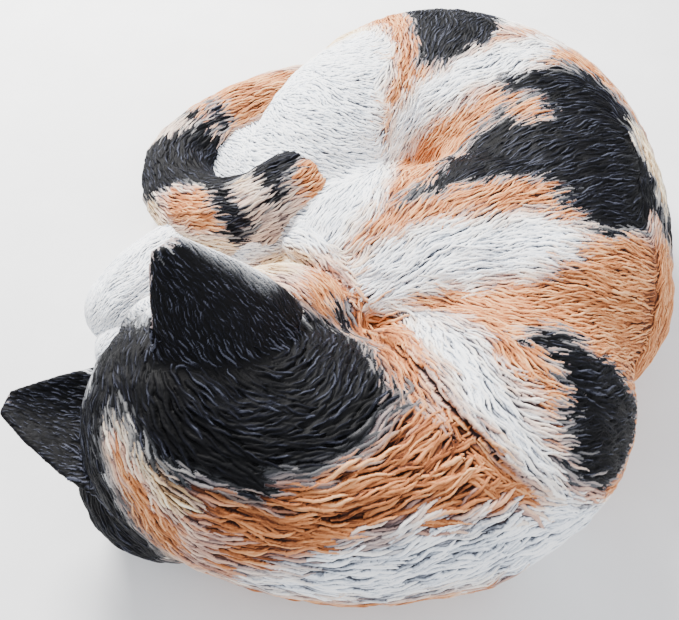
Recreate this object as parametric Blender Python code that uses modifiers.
"""Curled, sleeping cat figurine, cast in sections and luted together.

Metres, +Z up.  The cat lies on its left side.  Its back runs round the right and the far side,
its head rests at the near left, and its tail comes round the far left to the middle.
Run with: blender --background --python part.py
"""
import math

import bmesh
import bpy
from mathutils import Matrix, Vector

MM = 0.001

# ---- driving dimensions ---------------------------------------------------------------------
PAD_HEIGHT = 2.0 * MM                  # felt pad, as it stands under the cat
PAD_RADIUS = 9.0 * MM
GAP = 0.3 * MM                         # room for slip or glue between two pieces
REST_Z = PAD_HEIGHT + GAP              # underside of the cat
TILE_THICKNESS = 4.0 * MM              # tile that closes the underside
TILE_LEDGE = 5.0 * MM                  # width of the ledge that the tile sits on
FLOOR_TOP = 13.0 * MM                  # top of the cast floor, inside
WALL = 5.5 * MM                        # cast wall
VENT_RADIUS = 5.0 * MM
GRAIN = 3.0 * MM                       # grain of the clay when the masses are worked together
HOLLOW_GRAIN = 6.0 * MM
FORM_FACES = 6400
HOLLOW_FACES = 1000
LIMB_SIDES = 16
LIMB_STEPS = 3                         # rings between two points of a limb

# The neck joint is a plane: a point on it, and its normal toward the torso, turned from +X.
NECK_JOINT = Vector((20.0, -31.0, 44.0)) * MM
NECK_TURN = math.radians(39.0)
COLLAR_ALONG = -32.0 * MM              # middle of the collar, along the joint
COLLAR_RADII = (31.0 * MM, 22.0 * MM)  # along the joint, and up
COLLAR_WALL = 5.0 * MM
COLLAR_DEPTH = 7.0 * MM                # how far the collar goes into the torso

TILE_CENTRE = (66.0 * MM, 50.0 * MM)
TILE_RADII = (42.0 * MM, 58.0 * MM)

# ---- clay: rolls worked from one mass to the next, and single masses ------------------------------
# A mass is its centre and its radii along X, Y and Z (mm); a turned one adds its turn in degrees.
BACK_ROLL = (
    ((91, 8, 34), (58, 54, 55)), ((101, 56, 34), (56, 58, 55)),
    ((93, 100, 34), (56, 57, 53)), ((55, 132, 32), (61, 52, 50)), ((22, 134, 28), (44, 46, 44)),
)
SHOULDER_ROLL = (
    ((40, -68, 36), (52, 52, 51)), ((66, -50, 35), (53, 52, 51)), ((82, -34, 32), (40, 42, 46)),
)
FLANK_ROLL = (
    ((74, 24, 34), (60, 56, 55)), ((46, 20, 31), (58, 54, 51)), ((16, 34, 26), (48, 46, 44)),
)
THIGH = (
    ((12, 108, 40), (74, 46, 41), 52), ((-14, 80, 34), (42, 38, 35), 40),
    ((-40, 106, 12), (34, 36, 22), 0),
)
NAPE_ROLL = (
    ((-50, -58, 49), (49, 50, 51)), ((-24, -68, 43), (54, 51, 52)), ((8, -73, 38), (56, 51, 51)),
    ((40, -68, 36), (52, 52, 51)),
)
HEAD = (
    ((-72, -20, 36), (25, 27, 25), 20), ((-26, -22, 52), (34, 30, 30), 30),
    ((-66, -68, 30), (40, 40, 34), 0), ((-30, -30, 28), (56, 44, 38), 30),
)
ROLL_STEPS = 5
# ---- limbs: points along the middle, and the radius at each (mm) --------------------------------
TAIL_LINE = (
    ((26, 146, 28), 17), ((-12, 148, 25), 19), ((-45, 140, 22), 19), ((-72, 124, 20), 18),
    ((-87, 99, 20), 19), ((-80, 72, 25), 19), ((-60, 53, 36), 19), ((-38, 50, 45), 18.5),
    ((-22, 57, 51), 19),
)
RIGHT_HIND_FOOT_LINE = (
    ((-54, 54, 17), 18), ((-76, 42, 18), 20), ((-95, 24, 18), 20), ((-105, 12, 17), 18),
)
LEFT_HIND_FOOT_LINE = (
    ((-34, 26, 14), 13), ((-58, 16, 14), 14), ((-86, 4, 14), 14), ((-102, -8, 13), 14),
)
RIGHT_FRONT_PAW_LINE = (
    ((-62, -34, 14), 12), ((-84, -28, 14), 13), ((-98, -25, 13), 13),
)
LEFT_FRONT_PAW_LINE = (
    ((-62, -62, 14), 12), ((-82, -58, 13), 13), ((-96, -53, 13), 13),
)

LIMBS = (
    ("tail", TAIL_LINE), ("right_hind_foot", RIGHT_HIND_FOOT_LINE),
    ("left_hind_foot", LEFT_HIND_FOOT_LINE), ("right_front_paw", RIGHT_FRONT_PAW_LINE),
    ("left_front_paw", LEFT_FRONT_PAW_LINE),
)

# ---- ears: middle of the root, tip, the way the width runs, half width, bow of the back (mm) ------
RIGHT_EAR = ((-36, -46, 82), (-57, -27, 125), (0.86, 0.45, -0.22), 29, 13)
LEFT_EAR = ((-76, -66, 58), (-129, -55, 60), (0.05, -0.90, -0.10), 27, 11)
EARS = (("right_ear", RIGHT_EAR), ("left_ear", LEFT_EAR))
EAR_TIP = 0.16                         # width left at the tip, as a share of the root's
EAR_SHEET = 5.0                        # thickness of the ear
EAR_SIDES = 24
EAR_RINGS = 7

# ---- felt pads, under cast clay and clear of the tile --------------------------------------------
PAD_PLACES = ((118, 60), (82, -40), (-34, -70), (30, 126))

# ---- coats and other colours ---------------------------------------------------------------------
WHITE_COAT = (0.72, 0.72, 0.70, 1.0)
GINGER_COAT = (0.50, 0.24, 0.10, 1.0)
BLACK_COAT = (0.03, 0.032, 0.04, 1.0)
BARE_CLAY = (0.62, 0.52, 0.43, 1.0)
FELT_GREY = (0.08, 0.08, 0.085, 1.0)


# ---- working tools -------------------------------------------------------------------------------
def clear_scene():
    """Remove everything that the file opened with."""
    for obj in list(bpy.data.objects):
        bpy.data.objects.remove(obj, do_unlink=True)


def new_collection(name):
    """A collection linked to the scene."""
    collection = bpy.data.collections.new(name)
    bpy.context.scene.collection.children.link(collection)
    return collection


def paint(obj, name, colour, roughness):
    """Give an object its own coat or clay."""
    material = bpy.data.materials.new(name)
    material.use_nodes = True
    shader = material.node_tree.nodes["Principled BSDF"]
    shader.inputs["Base Color"].default_value = colour
    shader.inputs["Roughness"].default_value = roughness
    shader.inputs["Metallic"].default_value = 0.0
    material.diffuse_color = colour
    obj.data.materials.clear()
    obj.data.materials.append(material)


def object_from(bm, name, collection):
    """Turn a bmesh into a named object."""
    mesh = bpy.data.meshes.new(name)
    bm.to_mesh(mesh)
    bm.free()
    obj = bpy.data.objects.new(name, mesh)
    collection.objects.link(obj)
    if collection.name == "cutters":
        obj.hide_render = True
        obj.display_type = "WIRE"
    return obj


def evaluated_mesh(obj):
    """The object's mesh with its modifiers or its bevel."""
    depsgraph = bpy.context.evaluated_depsgraph_get()
    return bpy.data.meshes.new_from_object(obj.evaluated_get(depsgraph))


def freeze(obj):
    """Make the modifiers' result the object's own mesh."""
    mesh = evaluated_mesh(obj)
    obj.modifiers.clear()
    old = obj.data
    obj.data = mesh
    bpy.data.meshes.remove(old)


def cut(obj, cutter, operation="DIFFERENCE"):
    """One exact boolean."""
    boolean = obj.modifiers.new(operation.lower() + "_" + cutter.name, "BOOLEAN")
    boolean.solver = "EXACT"
    boolean.operation = operation
    boolean.object = cutter


def between(before, start, end, after, share):
    """A point on the smooth line through four points (Catmull-Rom)."""
    return 0.5 * (2.0 * start + (end - before) * share
                  + (2.0 * before - 5.0 * start + 4.0 * end - after) * share ** 2
                  + (3.0 * start - before - 3.0 * end + after) * share ** 3)


def ball_matrix(centre, radii, turn):
    """Where a unit ball goes to become one mass."""
    place = Matrix.Translation(Vector(centre) * MM)
    spin = Matrix.Rotation(math.radians(turn), 4, "Z")
    return place @ spin @ Matrix.Diagonal((*(Vector(radii) * MM), 1.0))


def rolled(masses):
    """Masses filled in smoothly between the ones that shape a roll."""
    keys = [Vector((*centre, *radii)) for centre, radii in masses]
    keys = [2.0 * keys[0] - keys[1]] + keys + [2.0 * keys[-1] - keys[-2]]
    filled = []
    for before, start, end, after in zip(keys, keys[1:], keys[2:], keys[3:]):
        for step in range(ROLL_STEPS + 1):
            mass = between(before, start, end, after, step / ROLL_STEPS)
            filled.append((mass[0:3], mass[3:6], 0.0))
    return tuple(filled)


def lump_of(masses, name, collection, grain):
    """Work several masses together into one closed lump."""
    bm = bmesh.new()
    for centre, radii, turn in masses:
        bmesh.ops.create_icosphere(bm, subdivisions=4, radius=1.0,
                                   matrix=ball_matrix(centre, radii, turn))
    lump = object_from(bm, name, collection)
    remesh = lump.modifiers.new("work_together", "REMESH")
    remesh.mode = "VOXEL"
    remesh.voxel_size = grain
    rub = lump.modifiers.new("rub_down", "SMOOTH")
    rub.factor = 0.5
    rub.iterations = 8
    return lump


def thin_out(obj, faces):
    """Keep only as many triangles as the shape needs."""
    mesh = evaluated_mesh(obj)
    have = sum(len(polygon.vertices) - 2 for polygon in mesh.polygons)
    bpy.data.meshes.remove(mesh)
    decimate = obj.modifiers.new("thin_out", "DECIMATE")
    decimate.ratio = min(1.0, faces / have)


def box(name, low, high, collection, matrix=None):
    """A plain box between two corners, in the frame of a matrix."""
    low = Vector(low)
    high = Vector(high)
    place = Matrix.Translation((low + high) / 2) @ Matrix.Diagonal((*(high - low), 1.0))
    bm = bmesh.new()
    bmesh.ops.create_cube(bm, size=1.0, matrix=(matrix or Matrix()) @ place)
    return object_from(bm, name, collection)


def disc(name, radii, low, high, collection, matrix=None, sides=64):
    """An elliptical disc between two heights, in the frame of a matrix."""
    place = Matrix.Translation((0.0, 0.0, (low + high) / 2))
    size = Matrix.Diagonal((radii[0], radii[1], high - low, 1.0))
    bm = bmesh.new()
    bmesh.ops.create_cone(bm, cap_ends=True, segments=sides, radius1=1.0, radius2=1.0,
                          depth=1.0, matrix=(matrix or Matrix()) @ place @ size)
    return object_from(bm, name, collection)


# ---- limbs ---------------------------------------------------------------------------------------
def smooth_line(line):
    """The limb's middle as 4-vectors: place and radius."""
    points = [Vector((*place, radius)) * MM for place, radius in line]
    points = [2.0 * points[0] - points[1]] + points + [2.0 * points[-1] - points[-2]]
    smooth = []
    for before, start, end, after in zip(points, points[1:], points[2:], points[3:]):
        smooth += [between(before, start, end, after, step / LIMB_STEPS)
                   for step in range(LIMB_STEPS)]
    return smooth + [points[-2]]


def dome_rings(end, inner, rings=5):
    """Shrinking rings that round off a limb beyond its last point."""
    out = (end.xyz - inner.xyz).normalized()
    domed = []
    for ring in range(1, rings + 1):
        turn = math.radians(84.0) * ring / rings
        place = end.xyz + out * end.w * math.sin(turn)
        domed.append(Vector((*place, end.w * math.cos(turn))))
    return domed


def limb(name, line, grow, collection):
    """A round limb along a smooth line, domed at both ends, with its bevel as the flesh."""
    points = [point + Vector((0.0, 0.0, 0.0, grow)) for point in smooth_line(line)]
    points = (list(reversed(dome_rings(points[0], points[1]))) + points
              + dome_rings(points[-1], points[-2]))
    curve = bpy.data.curves.new(name + "_line", "CURVE")
    curve.dimensions = "3D"
    curve.bevel_depth = 1.0
    curve.bevel_resolution = LIMB_SIDES // 4 - 1
    curve.use_fill_caps = True
    spline = curve.splines.new("POLY")
    spline.points.add(len(points) - 1)
    for knot, point in zip(spline.points, points):
        knot.co = (*point.xyz, 1.0)
        knot.radius = point.w
    line_object = bpy.data.objects.new(name + "_line", curve)
    collection.objects.link(line_object)
    bm = bmesh.new()
    bm.from_mesh(evaluated_mesh(line_object))
    bpy.data.objects.remove(line_object, do_unlink=True)
    bmesh.ops.remove_doubles(bm, verts=bm.verts, dist=0.01 * MM)
    bmesh.ops.recalc_face_normals(bm, faces=bm.faces)
    return object_from(bm, name, collection)


# ---- ears ----------------------------------------------------------------------------------------
def ear_frame(start, end, width):
    """Axes of an ear: X across, Y toward its front, Z from root to tip."""
    z_axis = (end - start).normalized()
    x_axis = (width - width.dot(z_axis) * z_axis).normalized()
    rows = Matrix((x_axis, z_axis.cross(x_axis), z_axis)).transposed().to_4x4()
    return Matrix.Translation(start) @ rows


def ear_point(side, half_width, bow, height, sheet):
    """One point round a ring of the cupped sheet."""
    turn = math.tau * side / EAR_SIDES
    x = half_width * math.cos(turn)
    middle = -bow * (1.0 - math.cos(turn) ** 2)
    skin = math.copysign(math.sqrt(abs(math.sin(turn))), math.sin(turn)) * sheet / 2
    return Vector((x, middle + skin, height))


def ear(name, spec, grow, collection):
    """A cupped ear: a sheet bowed about its length, narrowing to a rounded tip."""
    root, tip, width, half_width, bow = spec
    start = Vector(root) * MM
    end = Vector(tip) * MM
    length = (end - start).length
    bm = bmesh.new()
    rings = []
    for ring in range(EAR_RINGS + 1):
        up = ring / EAR_RINGS
        share = EAR_TIP + (1.0 - EAR_TIP) * (1.0 - up ** 1.6)
        height = -grow + (length + 2.0 * grow) * up
        rings.append([bm.verts.new(ear_point(side, half_width * MM * share + grow,
                                             bow * MM * share, height,
                                             EAR_SHEET * MM * (1.0 - 0.35 * up) + 2.0 * grow))
                      for side in range(EAR_SIDES)])
    for low, high in zip(rings, rings[1:]):
        for side in range(EAR_SIDES):
            after = (side + 1) % EAR_SIDES
            bm.faces.new((low[side], low[after], high[after], high[side]))
    bm.faces.new(rings[0])
    bm.faces.new(rings[-1])
    bmesh.ops.recalc_face_normals(bm, faces=bm.faces)
    bm.transform(ear_frame(start, end, Vector(width)))
    return object_from(bm, name, collection)


# ---- neck joint ----------------------------------------------------------------------------------
def joint_frame():
    """Frame of the neck joint: X along it, Y up, Z toward the torso."""
    toward = Vector((math.cos(NECK_TURN), math.sin(NECK_TURN), 0.0))
    up = Vector((0.0, 0.0, 1.0))
    rows = Matrix((up.cross(toward), up, toward)).transposed().to_4x4()
    return Matrix.Translation(NECK_JOINT) @ rows


def collar_frame():
    """Frame of the round collar, in the neck joint."""
    return joint_frame() @ Matrix.Translation((COLLAR_ALONG, 0.0, 0.0))


def side_of_joint(name, low, high, cutters):
    """Everything between two distances from the neck joint."""
    return box(name, (-0.5, -0.5, low), (0.5, 0.5, high), cutters, joint_frame())


# ---- sections ------------------------------------------------------------------------------------
def whole_form(cutters):
    """Body and head as the sculptor's one lump, before it is sectioned, cut flat underneath."""
    masses = (rolled(BACK_ROLL) + rolled(SHOULDER_ROLL) + rolled(FLANK_ROLL) + THIGH
              + rolled(NAPE_ROLL) + HEAD)
    form = lump_of(masses, "whole_form", cutters, GRAIN)
    freeze(form)
    thin_out(form, FORM_FACES)
    cut(form, box("below_rest", (-1.0, -1.0, -1.0), (1.0, 1.0, REST_Z), cutters))
    freeze(form)
    return form


def copy_of(obj, name, collection):
    """The same mesh as an object of its own."""
    bm = bmesh.new()
    bm.from_mesh(obj.data)
    return object_from(bm, name, collection)


def inset(masses):
    """The same masses, smaller by the wall."""
    wall = WALL / MM
    return tuple((centre, tuple(radius - wall for radius in radii), turn)
                 for centre, radii, turn in masses)


def keep_largest(obj):
    """Fill every pocket that has come away from the main hollow."""
    bm = bmesh.new()
    bm.from_mesh(obj.data)
    left = set(bm.faces)
    bodies = []
    while left:
        body = {left.pop()}
        edge_of_body = list(body)
        while edge_of_body:
            face = edge_of_body.pop()
            beside = {other for edge in face.edges for other in edge.link_faces} & left
            left -= beside
            body |= beside
            edge_of_body += beside
        bodies.append(body)
    bodies.sort(key=lambda faces: sum(face.calc_area() for face in faces))
    strays = [face for body in bodies[:-1] for face in body]
    bmesh.ops.delete(bm, geom=strays, context="FACES")
    bm.to_mesh(obj.data)
    bm.free()


def whole_hollow(keep_out, cutters):
    """The hollow in body and head: a wall's thickness inside, over the floor, round the seats."""
    masses = rolled(BACK_ROLL) + rolled(SHOULDER_ROLL) + rolled(FLANK_ROLL) + rolled(NAPE_ROLL)
    hollow = lump_of(inset(masses + THIGH[:1]), "whole_hollow", cutters, HOLLOW_GRAIN)
    freeze(hollow)
    thin_out(hollow, HOLLOW_FACES)
    cut(hollow, box("hollow_floor", (-1.0, -1.0, -1.0), (1.0, 1.0, FLOOR_TOP), cutters))
    for seat in keep_out:
        cut(hollow, seat)
    freeze(hollow)
    return hollow


def hollow_side(hollow, name, low, high, cutters):
    """The hollow on one side of the neck joint."""
    part_of_it = copy_of(hollow, name, cutters)
    cut(part_of_it, side_of_joint(name + "_side", low, high, cutters), "INTERSECT")
    freeze(part_of_it)
    keep_largest(part_of_it)
    return part_of_it


def make_torso(form, hollow, pieces, cutters):
    """Body casting: open at the neck and under the tile."""
    torso = copy_of(form, "torso_shell", pieces)
    cut(torso, side_of_joint("head_side", -1.0, GAP / 2, cutters))
    cut(torso, hollow_side(hollow, "torso_hollow", WALL, 1.0, cutters))
    grown = [radius + GAP for radius in COLLAR_RADII]
    cut(torso, disc("neck_hole", grown, -0.02, COLLAR_DEPTH + 4.0 * MM, cutters, collar_frame()))
    tile_place = Matrix.Translation((*TILE_CENTRE, 0.0))
    recess = [radius + GAP for radius in TILE_RADII]
    opening = [radius - TILE_LEDGE for radius in TILE_RADII]
    cut(torso, disc("tile_recess", recess, -0.01, REST_Z + TILE_THICKNESS + GAP, cutters,
                    tile_place))
    cut(torso, disc("floor_opening", opening, 0.0, FLOOR_TOP + MM, cutters, tile_place))
    return torso


def make_head(form, hollow, pieces, cutters):
    """Head and neck casting, with a collar that fits the torso's neck hole."""
    head = copy_of(form, "head_shell", pieces)
    cut(head, side_of_joint("torso_side", -GAP / 2, 1.0, cutters))
    cut(head, disc("collar", COLLAR_RADII, -3.0 * MM, COLLAR_DEPTH, cutters, collar_frame()),
        "UNION")
    cut(head, hollow_side(hollow, "head_hollow", -1.0, -WALL, cutters))
    bore = [radius - COLLAR_WALL for radius in COLLAR_RADII]
    cut(head, disc("collar_bore", bore, -WALL - 4.0 * MM, COLLAR_DEPTH + MM, cutters,
                   collar_frame()))
    return head


def make_tile(pieces, cutters):
    """Tile that closes the underside, with the vent that every hollow casting needs."""
    place = Matrix.Translation((*TILE_CENTRE, 0.0))
    tile = disc("base_tile", TILE_RADII, REST_Z, REST_Z + TILE_THICKNESS, pieces, place)
    vent = (VENT_RADIUS, VENT_RADIUS)
    cut(tile, disc("vent", vent, 0.0, REST_Z + 2.0 * TILE_THICKNESS, cutters, place, 32))
    return tile


def make_limbs(pieces, cutters):
    """Tail, feet and paws, and the seats that each leaves in what is worked round it."""
    floor = box("limb_floor", (-1.0, -1.0, -1.0), (1.0, 1.0, REST_Z), cutters)
    limbs = []
    seats = []
    for name, line in LIMBS:
        piece = limb(name, line, 0.0, pieces)
        cut(piece, floor)
        for seat in seats:
            cut(piece, seat)
        limbs.append(piece)
        seats.append(limb(name + "_seat", line, GAP, cutters))
    return limbs, seats


def make_ears(pieces, cutters):
    """Both ears and their sockets."""
    ears = [ear(name, spec, 0.0, pieces) for name, spec in EARS]
    sockets = [ear(name + "_socket", spec, 2.0 * GAP, cutters) for name, spec in EARS]
    return ears, sockets


def make_pads(pieces):
    """Felt pads that the figurine rests on."""
    pads = []
    for number, (x, y) in enumerate(PAD_PLACES, 1):
        place = Matrix.Translation((x * MM, y * MM, 0.0))
        pads.append(disc(f"felt_pad_{number}", (PAD_RADIUS, PAD_RADIUS), 0.0, PAD_HEIGHT,
                         pieces, place, 40))
    return pads


def centre_on_origin(objects, collection):
    """Carry every piece on one empty, so that the figurine stands centred on the origin."""
    corners = [obj.matrix_world @ vertex.co for obj in objects for vertex in obj.data.vertices]
    middle = [(min(c[axis] for c in corners) + max(c[axis] for c in corners)) / 2
              for axis in range(2)]
    carrier = bpy.data.objects.new("figurine", None)
    carrier.location = (-middle[0], -middle[1], 0.0)
    collection.objects.link(carrier)
    for obj in objects:
        obj.parent = carrier
    bpy.context.view_layer.update()


def main():
    clear_scene()
    pieces = new_collection("curled_cat_figurine")
    cutters = new_collection("cutters")
    form = whole_form(cutters)
    keep_out = [limb(name + "_wall", line, WALL, cutters) for name, line in LIMBS]
    keep_out += [ear(name + "_wall", spec, WALL, cutters) for name, spec in EARS]
    hollow = whole_hollow(keep_out, cutters)
    torso = make_torso(form, hollow, pieces, cutters)
    head = make_head(form, hollow, pieces, cutters)
    tile = make_tile(pieces, cutters)
    limbs, seats = make_limbs(pieces, cutters)
    ears, sockets = make_ears(pieces, cutters)
    for seat in seats + sockets:
        cut(head, seat)
    for seat in seats:
        cut(torso, seat)
    for piece in (torso, head, tile, *limbs, *ears):
        freeze(piece)
    paint(torso, "torso_coat", WHITE_COAT, 0.6)
    paint(head, "head_coat", BLACK_COAT, 0.6)
    paint(tile, "bare_clay", BARE_CLAY, 0.8)
    paint(limbs[0], "tail_coat", GINGER_COAT, 0.6)
    for piece in limbs[1:]:
        paint(piece, piece.name + "_coat", WHITE_COAT, 0.6)
    for piece in ears:
        paint(piece, piece.name + "_coat", BLACK_COAT, 0.6)
    pads = make_pads(pieces)
    for pad in pads:
        paint(pad, pad.name + "_felt", FELT_GREY, 0.95)
    centre_on_origin([torso, head, tile, *limbs, *ears, *pads], pieces)


main()
